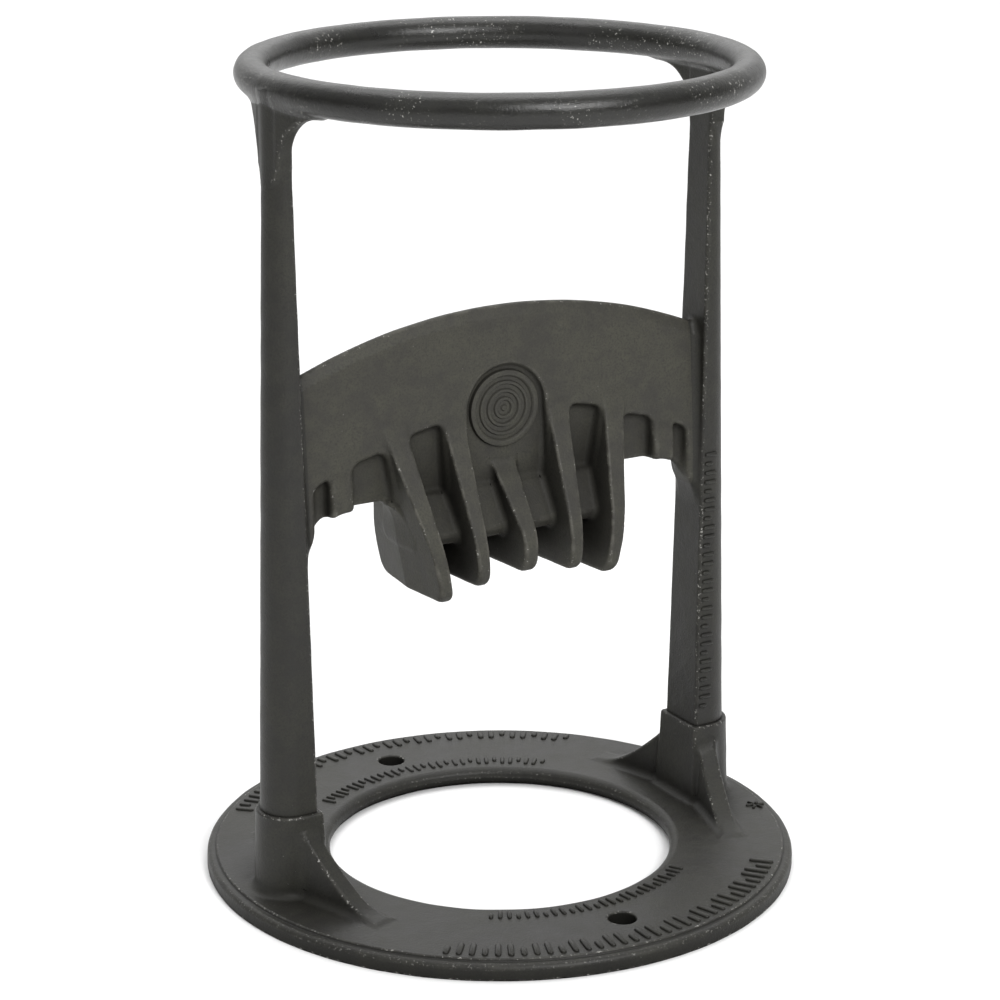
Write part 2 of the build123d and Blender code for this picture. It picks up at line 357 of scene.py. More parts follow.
def gusset(x, y, z):
    """All four gussets: ribs that fall in a hollow curve from the sockets to the ring."""
    start, end = np.array(GUSSET_START), np.array(GUSSET_END)
    run = np.linalg.norm(end - start)
    along_x, along_y = (end - start) / run
    s = (np.abs(x) - start[0]) * along_x + (np.abs(y) - start[1]) * along_y
    across = (np.abs(x) - start[0]) * along_y - (np.abs(y) - start[1]) * along_x
    drop = GUSSET_TOP_Z - RING_T
    left = 1 - np.clip((s - GUSSET_FLAT) / (run - GUSSET_FLAT), 0, 1)
    top_z = RING_T + drop * left ** GUSSET_CURVE
    fall = drop * GUSSET_CURVE * left ** (GUSSET_CURVE - 1) / (run - GUSSET_FLAT)
    steep = fall * (s > GUSSET_FLAT)
    top = (z - top_z) / np.hypot(1, steep)
    sides = np.abs(across) - GUSSET_HALF_T - GUSSET_DRAFT * np.maximum(top_z - z, 0)
    return meet(np.maximum(sides, s - run), top, GUSSET_EDGE_R)


def ring(x, y, z):
    r = np.hypot(x, y)
    plateau = meet(r - (RING_R - LEDGE_W), z - RING_T, PLATEAU_EDGE_R)
    ledge = meet(r - RING_R, z - (RING_T - LEDGE_DROP), RIM_R)
    body = meet(join(plateau, ledge, LEDGE_FILLET), -z, UNDERSIDE_EDGE_R)
    hole_wall = HOLE_R + HOLE_DRAFT * np.abs(z - RING_T / 2) - r
    body = meet(body, hole_wall, LIP_R)
    hole = np.hypot(x, np.abs(y) - BOLT_PITCH_R) - BOLT_R
    return meet(body, -hole, BOLT_EDGE_R)


def foot(x, y, z):
    uprights = join(socket(x, y, z), gusset(x, y, z), GUSSET_FILLET)
    return join(ring(x, y, z), np.maximum(uprights, RING_T / 2 - z), FOOT_FILLET)


def hoop(x, y, z):
    return np.hypot(np.hypot(x, y) - HOOP_R, z - HOOP_Z) - BAR_R


def saddle(x, y, z):
    """The wings that flare from a post's head along the underside of the hoop."""
    far = np.clip((np.abs(y) - WING_ROOT) / WING_FLARE_R, 0, 1)
    middle_r = WING_R - WING_INWARDS * far
    wing = np.abs(np.hypot(x, y) - middle_r) - WING_HALF_T + WING_THINNED * far
    ends = np.abs(y) - WING_ROOT - WING_FLARE_R
    flare_z = HOOP_Z - BAR_R - WING_DROP - WING_FLARE_R
    narrow = WING_TAPER * np.maximum(flare_z - z, 0)
    across = np.maximum(WING_ROOT + WING_FLARE_R - np.abs(y), 0)
    hollow = WING_FLARE_R - np.hypot(across, np.maximum(z - flare_z, 0)) + narrow
    return np.maximum(np.maximum(meet(wing, hollow, WING_EDGE_R), ends), z - HOOP_Z)


def crown(x, y, z):
    """The hoop with the posts' heads under it."""
    heads = join(np.maximum(post(x, y, z), z - HOOP_Z), saddle(x, y, z), WING_FILLET)
    return join(hoop(x, y, z), heads, HOOP_FILLET)


def web_hollow(x, z):
    """Front view of the space under the web: flat, with an arch down to each post."""
    u = np.abs(x)
    aside, above = u - ARCH_X, z - (WEB_BOTTOM_Z - ARCH_R)
    leg = math.cos(ARCH_TURN) * aside + math.sin(ARCH_TURN) * above - ARCH_R
    round_part = np.hypot(aside, above) - ARCH_R
    angle = np.arctan2(above, aside)
    on_arch = (angle > ARCH_TURN) & (angle < math.pi / 2)
    return np.where(on_arch, round_part, np.maximum(leg, z - WEB_BOTTOM_Z))


def pockets(x, y, z):
    """What is sunk into both faces of the web: four pockets, two end pockets and a dome."""
    depth = np.maximum(WEB_HALF_T - np.abs(y), 0)
    outline = np.minimum.reduce([polygon(np.abs(x), z, corners, r) for corners, r in POCKETS])
    sunk = meet(outline + POCKET_DRAFT * depth, SIDE_FLOOR - np.abs(y), POCKET_FLOOR_R)
    foot_x, foot_z = DOME_FOOT
    corners = [(-foot_x, foot_z), (foot_x, foot_z), (DOME_R, DOME_Z), (-DOME_R, DOME_Z)]
    dome = np.minimum(np.hypot(x, z - DOME_Z) - DOME_R, polygon(x, z, corners, DOME_SIDE_R))
    return np.minimum(sunk, meet(dome, FLOOR - np.abs(y), DOME_FLOOR_R))


def plate(x, y, z):
    """The splitting web: a wedge up to its arched edge, with its pockets."""
    radius = np.hypot(x, z - (EDGE_Z - EDGE_R))
    half = np.interp(EDGE_R - radius, WEDGE_DEPTH, WEDGE_HALF_T)
    wedge = meet(np.abs(y) - half, radius - EDGE_R, WEDGE_EDGE_R)
    body = meet(wedge, -web_hollow(x, z), WEB_FOOT_R)
    body = meet(body, -pockets(x, y, z), POCKET_EDGE_R)
    return np.maximum(body, np.abs(x) - post_section(z)[0] - WEB_ROOT)


def end_ribs(x, y, z):
    section = polygon(np.abs(y), z, END_RIB_SECTION, END_RIB_CORNER_R)
    rib = meet(np.abs(np.abs(x) - END_RIB_X) - END_RIB_HALF_T, section, END_RIB_EDGE_R)
    return meet(rib, -web_hollow(x, z), END_RIB_EDGE_R)


def fin_sides(name, x, y, z):
    """Distance from one fin's two flanks, which draw together towards its edges."""
    shape = FINS[name]
    off = np.abs(x - shape.x - shape.lean * (z - FIN_REF_Z)) / math.hypot(1, shape.lean)
    return off - (shape.half_t - FIN_DRAFT * np.abs(y))


def fin(name, x, y, z):
    """One fin: a working edge that flares downwards on both sides, and rounded tips."""
    shape = FINS[name]
    depth = np.abs(y)
    edge = depth - shape.edge_y - shape.flare * (shape.edge_z - z)
    edge = meet(edge / math.hypot(1, shape.flare), z - shape.top_z, FIN_TOP_R)
    tip = meet(depth - FIN_REACH, shape.low - z, FIN_TIP_R)
    edge_r = np.interp(z, [shape.low, shape.low + FIN_EDGE_RISE], FIN_EDGE_R)
    return meet(fin_sides(name, x, y, z), meet(edge, tip, FIN_KNEE_R), edge_r)


def throats(x, y, z):
    """The ramps under the web, between and outside the fins."""
    section = polygon(np.abs(y), z, RAMP_SECTION, RAMP_CORNER_R)
    aside = np.maximum(SHOULDER_X + SHOULDER_R - np.abs(x), 0)
    above = np.maximum(z - WEB_BOTTOM_Z + SHOULDER_R, 0)
    end = SHOULDER_R - np.hypot(aside, above) + FIN_DRAFT * np.abs(y)
    end = np.maximum(end, np.abs(x) - SHOULDER_X - SHOULDER_REACH)
    return meet(section, end, RAMP_EDGE_R)


def head(x, y, z):
    """The splitting head: web, ramps, end ribs and fins."""
    body = join(plate(x, y, z), throats(x, y, z), HEAD_FILLET)
    body = join(body, end_ribs(x, y, z), HEAD_FILLET)
    for name in FINS:
        body = join(body, fin(name, x, y, z), FIN_FILLET)
    return body


def middle(x, y, z):
    """The splitting head and the posts that carry it."""
    return join(head(x, y, z), post(x, y, z), POST_FILLET)


# --- the cast skin ----------------------------------------------------------------------
WAVES = 7
wave_draw = np.random.default_rng(11)
wave_turn = wave_draw.normal(size=(WAVES, 3))
wave_turn /= np.linalg.norm(wave_turn, axis=1)[:, None]
wave_length = np.geomspace(9.0, 40.0, WAVES)
wave_start = wave_draw.uniform(0, 2 * math.pi, WAVES)
WAVE_HEIGHT = 0.0175


def as_cast(shape):
    """The same shape with the slight waviness of a sand casting."""

    def field(x, y, z):
        wave = 0
        for (a, b, c), length, start in zip(wave_turn, wave_length, wave_start):
            wave = wave + np.sin((a * x + b * y + c * z) * 2 * math.pi / length + start)
        return shape(x, y, z) + WAVE_HEIGHT * wave

    return field


# --- meshing ----------------------------------------------------------------------------
SETTLE_ROUNDS = 4
SETTLE_REACH = 0.6             # the furthest that a point moves in one round
CORNER_STEP = 0.5              # the same, for a corner's points along each axis
NEARLY_PARALLEL = 0.05         # skin and cut at a smaller angle than this give no edge
TINY = 1e-9


def slope(field, points, step=0.04):
    """The field's gradient at some points."""
    parts = []
    for k in range(3):
        shift = np.zeros(3)
        shift[k] = step
        ahead, behind = points + shift, points - shift
        parts.append((field(*ahead.T) - field(*behind.T)) / (2 * step))
    return np.stack(parts, 1)


def bulge(field, points, step=0.8):
    """How sharply the surface bulges out (positive) or in (negative) at some points, per mm."""
    total = -6 * field(*points.T)
    for k in range(3):
        shift = np.zeros(3)
        shift[k] = step
        total = total + field(*(points + shift).T) + field(*(points - shift).T)
    return total / step ** 2


def settle(points, skin, region, on_skin, on_cut):
    """Moves points onto the skin, onto the cut, or onto the edge where both meet."""
    cut_only = on_cut & ~on_skin
    for _ in range(SETTLE_ROUNDS):
        skin_d, region_d = skin(*points.T), region(*points.T)
        skin_g, region_g = slope(skin, points), slope(region, points)
        ss = (skin_g * skin_g).sum(1) + TINY
        rr = (region_g * region_g).sum(1) + TINY
        sr = (skin_g * region_g).sum(1)
        det = ss * rr - sr * sr
        askew = on_skin & on_cut & (det > NEARLY_PARALLEL * ss * rr)
        safe = np.where(askew, det, 1)
        by_skin = np.where(askew, (rr * skin_d - sr * region_d) / safe, skin_d / ss * on_skin)
        by_cut = np.where(askew, (ss * region_d - sr * skin_d) / safe, region_d / rr * cut_only)
        move = skin_g * by_skin[:, None] + region_g * by_cut[:, None]
        size = np.linalg.norm(move, axis=1)
        move *= np.minimum(1, SETTLE_REACH / np.maximum(size, TINY))[:, None]
        points = points - move
    if hasattr(region, "parts"):
        points = sharpen(points, skin, region.parts, on_skin & on_cut)
    return points


def most(*parts):
    """The part shared by several regions, which remembers them so that its corners stay sharp."""

    def field(x, y, z):
        return np.maximum.reduce([part(x, y, z) for part in parts])

    field.parts = parts
    return field


def sharpen(points, skin, parts, on_edge):
    """Moves the points near a region's corners onto the skin and two cuts at once."""
    values = np.stack([part(*points.T) for part in parts])
    nearest = np.argsort(-values, axis=0)[:2]
    second = np.take_along_axis(values, nearest, 0)[1]
    corner = np.flatnonzero(on_edge & (second > -CORNER_REACH))
    spots = points[corner]
    for _ in range(SETTLE_ROUNDS):
        fields = [skin(*spots.T)]
        slopes = [slope(skin, spots)]
        for rank in range(2):
            value, lean = np.zeros(len(spots)), np.zeros((len(spots), 3))
            for k, part in enumerate(parts):
                mine = nearest[rank, corner] == k
                if mine.any():
                    value[mine] = part(*spots[mine].T)
                    lean[mine] = slope(part, spots[mine])
            fields.append(value)
            slopes.append(lean)
        table = np.stack(slopes, 1)
        square = np.einsum("nij,nkj->nik", table, table) + 1e-3 * np.eye(3)
        pull = np.linalg.solve(square, np.stack(fields, 1)[:, :, None])
        move = np.einsum("nij,nik->nj", table, pull)
        spots = spots - np.clip(move, -CORNER_STEP, CORNER_STEP)
    points[corner] = spots
    return points


def surface_net(skin, region, axes, place, closed=None):
    """Mesh of the iron inside a region: points, four-cornered faces, and which are cut faces.

    axes are three rising rows of lattice lines, and place turns lattice values into x, y, z.
    closed is an axis whose end joins its start, a turn of 2 pi.
    """
    grid = place(*np.meshgrid(*axes, indexing="ij"))
    skin_v, region_v = skin(*grid), region(*grid)
    value = np.maximum(skin_v, region_v)
    count = value.shape
    keys, offsets, faces, cuts, cell_cut = [], [], [], [], []
    for axis in range(3):
        p, q = (axis + 1) % 3, (axis + 2) % 3
        ahead = np.roll(value, -1, axis)
        crossing = (value < 0) != (ahead < 0)
        if closed != axis:
            crossing[(slice(None),) * axis + (-1,)] = False
        here = np.argwhere(crossing)
        t = value[crossing] / (value[crossing] - ahead[crossing])
        skin_t = skin_v[crossing] * (1 - t) + np.roll(skin_v, -1, axis)[crossing] * t
        region_t = region_v[crossing] * (1 - t) + np.roll(region_v, -1, axis)[crossing] * t
        cut = region_t > skin_t
        ring_of_cells = []
        for dp, dq in ((1, 1), (0, 1), (0, 0), (1, 0)):
            cell = here.copy()
            cell[:, p] -= dp
            cell[:, q] -= dq
            if closed is not None:
                cell[:, closed] %= count[closed]
            offset = np.zeros((len(here), 3))
            offset[:, axis], offset[:, p], offset[:, q] = t, dp, dq
            key = np.ravel_multi_index(cell.T, count)
            ring_of_cells.append(key)
            keys.append(key)
            offsets.append(offset)
            cell_cut.append(cut)
        face = np.stack(ring_of_cells, 1)
        inwards = value[crossing] > 0
        face[inwards] = face[inwards][:, ::-1]
        faces.append(face)
        cuts.append(cut)
    keys, back = np.unique(np.concatenate(keys), return_inverse=True)
    offsets, cell_cut = np.concatenate(offsets), np.concatenate(cell_cut)
    uses = np.bincount(back)
    middle_of = np.stack([np.bincount(back, offsets[:, k]) / uses for k in range(3)], 1)
    cut_uses = np.bincount(back, cell_cut)
    cell = np.stack(np.unravel_index(keys, count), 1)
    lattice = []
    for k, axis in enumerate(axes):
        line = np.append(axis, axis[0] + 2 * math.pi) if k == closed else np.append(axis, axis[-1])
        start = line[cell[:, k]]
        lattice.append(start + middle_of[:, k] * (line[cell[:, k] + 1] - start))
    points = np.stack(place(*lattice), 1)
    points = settle(points, skin, region, cut_uses < uses, cut_uses > 0)
    index = np.searchsorted(keys, np.concatenate(faces))
    return points, index, np.concatenate(cuts)


def straight(x, y, z):
    return x, y, z


def around(r, turn, z):
    return r * np.cos(turn), r * np.sin(turn), z


def lines(start, end, step):
    """Evenly spaced lattice lines over a stretch."""
    return np.linspace(start, end, max(2, int(round((end - start) / step)) + 1))


def uneven(*stretches):
    """Lattice lines over neighbouring stretches, each (start, end, step)."""
    rows = [lines(*stretch)[:-1] for stretch in stretches[:-1]] + [lines(*stretches[-1])]
    return np.concatenate(rows)


def quad_mesh(name, points, faces, cut):
    """A mesh of four-cornered faces, smooth on the skin and flat where it is cut."""
    data = bpy.data.meshes.new(name)
    data.vertices.add(len(points))
    data.vertices.foreach_set("co", (points * MM).ravel())
    data.loops.add(faces.size)
    data.loops.foreach_set("vertex_index", faces.ravel())
    data.polygons.add(len(faces))
    data.polygons.foreach_set("loop_start", np.arange(len(faces)) * 4)
    data.polygons.foreach_set("use_smooth", ~cut)
    data.update(calc_edges=True)
    return data


def shade_by_field(data, field, points, faces, cut):
    """Shades the skin by the field's own slope, and makes the edge of a cut a hard one."""
    loop_edge = np.empty(faces.size, int)
    data.loops.foreach_get("edge_index", loop_edge)
    loop_cut = np.repeat(cut, 4)
    cut_sides = np.bincount(loop_edge, loop_cut, len(data.edges))
    skin_sides = np.bincount(loop_edge, ~loop_cut, len(data.edges))
    data.edges.foreach_set("use_edge_sharp", (cut_sides > 0) & (skin_sides > 0))
    normals = slope(field, points)
    normals /= np.linalg.norm(normals, axis=1)[:, None]
    flat = np.empty(3 * len(faces))
    data.polygons.foreach_get("normal", flat)
    flat = np.repeat(flat.reshape(-1, 3), 4, 0)
    loop_normals = np.where(loop_cut[:, None], flat, normals[faces.ravel()])
    data.normals_split_custom_set(loop_normals.tolist())


def hand_over(name, data, slot, nodes):
    """Makes a mesh a piece of the frame's one body, in place of some CAD nodes or of none."""
    piece = bpy.data.objects.new(name, data)
    bpy.context.scene.collection.objects.link(piece)
    data.materials.append(IRON[slot])
    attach(piece, "root")
    if nodes:
        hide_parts(*nodes)


def make_piece(name, nodes, slot, skin, region, axes, place=straight, closed=None):
    """Builds one piece of the casting: the part of its skin that lies inside a region."""
    field = as_cast(skin)
    points, faces, cut = surface_net(field, region, axes, place, closed)
    data = quad_mesh(name, points, faces, cut)
    shade_by_field(data, field, points, faces, cut)
    relief = data.attributes.new("relief", "FLOAT", "POINT")
    relief.data.foreach_set("value", bulge(skin, points))
    hand_over(name, data, slot, nodes)


# --- pieces -----------------------------------------------------------------------------
# Each stretch of a lattice is (start, end, step), and starts and ends a little outside its
# piece. A lattice runs along x, y and z, or along r, round the axis and along z.
RING_STRETCHES = (
    (HOLE_R - 1.5, HOLE_R + 5, 0.55), (HOLE_R + 5, RING_R - 5, 1.05), (RING_R - 5, RING_R + 1.2, 0.5)
)
RING_HEIGHTS = (-0.75, FOOT_CUT_Z + 0.9, 0.52)
SOCKET_LATTICE = ((75, 106, 0.85), (-17, 17, 0.85), (FOOT_CUT_Z - 0.9, SEAM_Z + 1.6, 0.75))
RIB_ACROSS = (70, 101, 0.8)
RIB_ALONG = (4, 50)
RIB_HEIGHTS = (FOOT_CUT_Z - 0.9, 34, 0.8)
RIB_STEP = 0.8
POST_ACROSS = (80.0, 102, 0.9)
POST_DEPTHS = (-13, 13, 0.9)
POST_STRETCHES = ((SEAM_Z - 1.1, 120, 1.9), (120, 220, 1.0), (220, POST_TOP_Z + 1.5, 1.9))
SADDLE_LATTICE = ((76, 97, 0.8), (-33, 33, 0.8), (POST_TOP_Z - 1, 297, 0.8))
WEB_LATTICE = ((-82.4, 82.4, 0.8), (-12, 12, 0.8), (127, EDGE_Z + 1.2, 0.8))
RAMP_DEPTHS = (-15, 15, 0.8)
RAMP_HEIGHTS = (126, WEB_BOTTOM_Z + 1, 0.8)
RAMP_STEP = 0.8
FIN_ACROSS = (-7.6, 7.6, 0.69)
FIN_DEPTHS = (-26, 26, 0.74)
FIN_HEIGHTS = (-1.5, 169.5, 0.74)      # the first from the fin's lowest point
HOOP_RADII = (HOOP_R - 8.6, HOOP_R + 8.6, 0.9)
HOOP_HEIGHTS = (HOOP_Z - 8.6, HOOP_Z + 7.2, 0.9)
HOOP_TURNS = 400


def mirrored(side):
    """A lattice on one side of the YZ plane, still right-handed."""
    if side > 0:
        return straight
    return lambda u, y, z: (-u, -y, z)


def make_foot():
    # the ring's lattice is finer round the sockets with their gussets, and round the bolts
    near, bolt = math.radians(36), math.radians(5)
    fine, finest, coarse = math.radians(0.95), math.radians(0.57), math.radians(2.2)
    stretches = []
    for start in (0, math.pi):
        across = start + math.pi / 2
        stretches += [
            (start - near, start + near, fine),
            (start + near, across - bolt, coarse),
            (across - bolt, across + bolt, finest),
            (across + bolt, start + math.pi - near, coarse),
        ]
    turns = uneven(*stretches)[:-1]
    make_piece(
        "foot_ring", ["base_ring"], "iron", foot,
        lambda x, y, z: z - FOOT_CUT_Z,
        (uneven(*RING_STRETCHES), turns, lines(*RING_HEIGHTS)), around, closed=1,
    )
    for side, side_name in ((-1, "left"), (1, "right")):
        place = mirrored(side)
        make_piece(
            f"{side_name}_socket", [f"{side_name}_foot_socket"], "iron", foot,
            lambda x, y, z: np.maximum(FOOT_CUT_Z - z, socket(x, y, z) - SOCKET_MARGIN),
            [lines(*span) for span in SOCKET_LATTICE], place,
        )
        for y_side, y_name in ((-1, "front"), (1, "rear")):
            near_end, far_end = RIB_ALONG
            sweep = RIB_ALONG if y_side * side > 0 else (-far_end, -near_end)
            make_piece(
                f"{side_name}_{y_name}_rib", [f"{side_name}_{y_name}_gusset"], "iron", foot,
                lambda x, y, z: np.maximum(FOOT_CUT_Z - z, SOCKET_MARGIN - socket(x, y, z)),
                (lines(*RIB_ACROSS), lines(*sweep, RIB_STEP), lines(*RIB_HEIGHTS)),
                place,
            )


def make_posts():
    for side, side_name in ((-1, "left"), (1, "right")):
        place = mirrored(side)
        make_piece(
            f"{side_name}_upright", [f"{side_name}_post"], "iron", middle,
            lambda x, y, z: np.maximum(
                WEB_CUT_X - np.abs(x), np.maximum(SEAM_Z - z, z - POST_TOP_Z)
            ),
            (lines(*POST_ACROSS), lines(*POST_DEPTHS), uneven(*POST_STRETCHES)), place,
        )
        make_piece(
            f"{side_name}_saddle", [f"{side_name}_hoop_saddle"], "iron", crown,
            lambda x, y, z: np.maximum(BAR_MARGIN - hoop(x, y, z), POST_TOP_Z - z),
            [lines(*span) for span in SADDLE_LATTICE], place,
        )


def make_hoop():
    turns = np.linspace(0, 2 * math.pi, HOOP_TURNS + 1)[:-1]
    make_piece(
        "hoop_bar", ["hoop"], "hoop_iron", crown,
        lambda x, y, z: hoop(x, y, z) - BAR_MARGIN,
        (lines(*HOOP_RADII), turns, lines(*HOOP_HEIGHTS)), around, closed=1,
    )


def fin_region(name, x, y, z):
    """The slab around a fin that belongs to it, up to a little above its working edge."""
    top = min(FINS[name].edge_z + FIN_TOP_MARGIN, FIN_CUT_Z)
    return np.maximum(fin_sides(name, x, y, z) - FIN_MARGIN, z - top)


def beside_fins():
    """The cuts that leave room for the fins, one for each."""
    return [lambda x, y, z, name=name: -fin_region(name, x, y, z) for name in FINS]


def make_head():
    web_region = most(
        lambda x, y, z: np.minimum(WEB_BOTTOM_Z - z, LEG_CUT_X - np.abs(x)),
        lambda x, y, z: np.abs(x) - WEB_CUT_X,
        *beside_fins(),
    )
    make_piece(
        "web", ["splitting_web", "left_end_rib", "right_end_rib"], "web_iron", middle, web_region,
        [lines(*span) for span in WEB_LATTICE],
    )
    under, top, step = FIN_HEIGHTS
    for name, shape in FINS.items():
        make_piece(
            f"splitting_{name}", [name], "web_iron", head,
            lambda x, y, z, name=name: fin_region(name, x, y, z),
            (lines(*FIN_ACROSS), lines(*FIN_DEPTHS), lines(shape.low + under, top, step)),
            lambda u, y, z, shape=shape: (u + shape.x + shape.lean * (z - FIN_REF_Z), y, z),
        )
    blocks = ["left_shoulder", "throat_1", "throat_2", "throat_3", "throat_4", "right_shoulder"]
    middles = [-RAMP_END_X, *(shape.x for shape in FINS.values()), RAMP_END_X]
    for block, low_x, high_x in zip(blocks, middles, middles[1:]):
        region = most(
            lambda x, y, z: z - WEB_BOTTOM_Z,
            lambda x, y, z: np.abs(x) - LEG_CUT_X,
            lambda x, y, z, low_x=low_x: low_x - x,
            lambda x, y, z, high_x=high_x: x - high_x,
            *beside_fins(),
        )
        across = lines(low_x - 1, high_x + 1, RAMP_STEP)
        make_piece(
            f"{block}_ramp", [block], "web_iron", head, region,
            (across, lines(*RAMP_DEPTHS), lines(*RAMP_HEIGHTS)),
        )


def add_mesh(name, slot, points, faces, *nodes):
    """A piece from points in millimetres."""
    data = bpy.data.meshes.new(name)
    data.from_pydata([tuple(MM * part for part in point) for point in points], [], faces)
    data.update()
    for face in data.polygons:
        face.use_smooth = True
    data.set_sharp_from_angle(angle=math.radians(50))
    hand_over(name, data, slot, nodes)


# a badge's section: radius and height over the recess's floor. A rim, then growth rings
# like those on the end of a log.
BADGE_FLOOR = 0.35
GROWTH_RING_H = 0.95
GROWTH_RINGS = (3.0, 6.0, 9.1)
BADGE_SECTION = [(0.0, 0.85), (0.9, 0.85), (1.3, BADGE_FLOOR)]
for ring_r in GROWTH_RINGS:
    BADGE_SECTION += [(ring_r - 0.4, BADGE_FLOOR), (ring_r, GROWTH_RING_H)]
    BADGE_SECTION += [(ring_r + 0.9, GROWTH_RING_H), (ring_r + 1.3, BADGE_FLOOR)]
BADGE_SECTION += [(11.7, BADGE_FLOOR), (12.2, 1.25), (12.6, 1.4), (13.7, 1.4), (14.1, 1.25)]
BADGE_SECTION += [(BADGE_R, -0.4), (0.0, -0.4)]
BADGE_TURNS = 120


def make_badges():
    for y_side, y_name in ((-1, "front"), (1, "rear")):
        points, faces = [], []
        for r, height in BADGE_SECTION[1:-1]:
            for k in range(BADGE_TURNS):
                angle = 2 * math.pi * k / BADGE_TURNS
                y = y_side * (FLOOR + height)
                points.append((r * math.cos(angle), y, DOME_Z + r * math.sin(angle)))
        rows = len(BADGE_SECTION) - 2
        for row in range(rows - 1):
            for k in range(BADGE_TURNS):
                a, b = row * BADGE_TURNS + k, row * BADGE_TURNS + (k + 1) % BADGE_TURNS
                faces.append((a, b, b + BADGE_TURNS, a + BADGE_TURNS))
        for end, height in ((0, BADGE_SECTION[0][1]), (rows - 1, BADGE_SECTION[-1][1])):
            points.append((0, y_side * (FLOOR + height), DOME_Z))
            for k in range(BADGE_TURNS):
                a, b = end * BADGE_TURNS + k, end * BADGE_TURNS + (k + 1) % BADGE_TURNS
                faces.append((b, a, len(points) - 1) if end == 0 else (a, b, len(points) - 1))
        if y_side > 0:
            faces = [face[::-1] for face in faces]
        add_mesh(f"{y_name}_disc", "web_iron", points, faces, f"{y_name}_badge")


# a raised mark's section from its foot to its top: how far in from its outline, and height
MARK_SECTION = ((0.0, -0.5), (0.0, 0.05), (0.18, 0.55), (0.38, 0.75))
END_POINTS = 6                 # round each end of a mark


def raised_bar(points, faces, middle, along, across, length, width):
    """Adds one raised bar with rounded ends, standing on a surface."""
    up = np.cross(along, across)
    first = len(points)
    for inset, height in MARK_SECTION:
        half_l, half_w = length / 2 - inset, width / 2 - inset
        for k in range(2 * END_POINTS):
            end = 1 if k < END_POINTS else -1
            angle = math.pi * ((k % END_POINTS) / (END_POINTS - 1) - 0.5)
            a = end * (half_l - half_w + half_w * math.cos(angle))
            b = end * half_w * math.sin(angle)
            points.append(tuple(middle + a * along + b * across + height * up))
    count = 2 * END_POINTS
    for row in range(len(MARK_SECTION) - 1):
        for k in range(count):
            a, b = first + row * count + k, first + row * count + (k + 1) % count
            faces.append((a, b, b + count, a + count))
    faces.append(tuple(range(first + count - 1, first - 1, -1)))
    top = first + (len(MARK_SECTION) - 1) * count
    faces.append(tuple(range(top, top + count)))


# plain raised bars in rows, one short to every two long: name, radii, from where to where in
# degrees, the bars' pitch and their width
RING_ROWS = {
    "front_outer_bars": (96.0, 105.2, -131, -45, 4.6, 2.2),
    "front_inner_bars": (69.4, 75.2, -123, -56, 3.4, 1.6),
    "rear_outer_bars": (98.0, 105.4, 44, 136, 4.6, 2.2),
    "rear_inner_bars": (70.6, 76.8, 46, 124, 3.4, 1.6),
}
RING_SHORTER = 0.35            # how much of its length a short bar lacks
SHORT_EVERY = 3
POST_BARS = (46.0, 150.0, 3.6)  # lowest, highest and pitch
POST_BAR_INSET = 1.2
POST_BAR_LENGTHS = (3.6, 5.6)
POST_BAR_W = 1.6
# a small six-armed mark beside the right post
SPOT_R = 103.3
SPOT_TURN = math.radians(-14.8)
SPOT_ARMS = 6
SPOT_ARM = (2.3, 3.0, 1.1)     # an arm's middle from the mark's, its length and its width


def facing(angle):
    """Directions outwards and sideways at an angle round the z axis."""
    outward = np.array((math.cos(angle), math.sin(angle), 0))
    return outward, np.array((-outward[1], outward[0], 0))


def make_ring_bars():
    top = np.array((0, 0, RING_T))
    for name, (low_r, high_r, start, end, pitch, width) in RING_ROWS.items():
        points, faces = [], []
        count = round(math.radians(end - start) * high_r / pitch)
        for k in range(count + 1):
            outward, aside = facing(math.radians(start + (end - start) * k / count))
            inner = low_r if k % SHORT_EVERY else low_r + RING_SHORTER * (high_r - low_r)
            place = outward * (inner + high_r) / 2 + top
            raised_bar(points, faces, place, outward, aside, high_r - inner, width)
        add_mesh(name, "iron", points, faces)


def make_post_bars():
    points, faces = [], []
    low_z, high_z, pitch = POST_BARS
    sideways, upwards = np.array((1, 0, 0)), np.array((0, 0, 1))
    for k in range(round((high_z - low_z) / pitch)):
        z = low_z + pitch * k
        flat, _, half = post_section(z)
        length = POST_BAR_LENGTHS[1 if k % SHORT_EVERY else 0]
        place = np.array((flat + POST_BAR_INSET + length / 2, -half, z))
        raised_bar(points, faces, place, sideways, upwards, length, POST_BAR_W)
    add_mesh("post_bars", "iron", points, faces)


def make_ring_spot():
    points, faces = [], []
    spot = facing(SPOT_TURN)[0] * SPOT_R + np.array((0, 0, RING_T))
    from_middle, length, width = SPOT_ARM
    for k in range(SPOT_ARMS):
        arm, aside = facing(SPOT_TURN + 2 * math.pi * k / SPOT_ARMS)
        raised_bar(points, faces, spot + arm * from_middle, arm, aside, length, width)
    add_mesh("ring_spot", "iron", points, faces)


# --- materials --------------------------------------------------------------------------


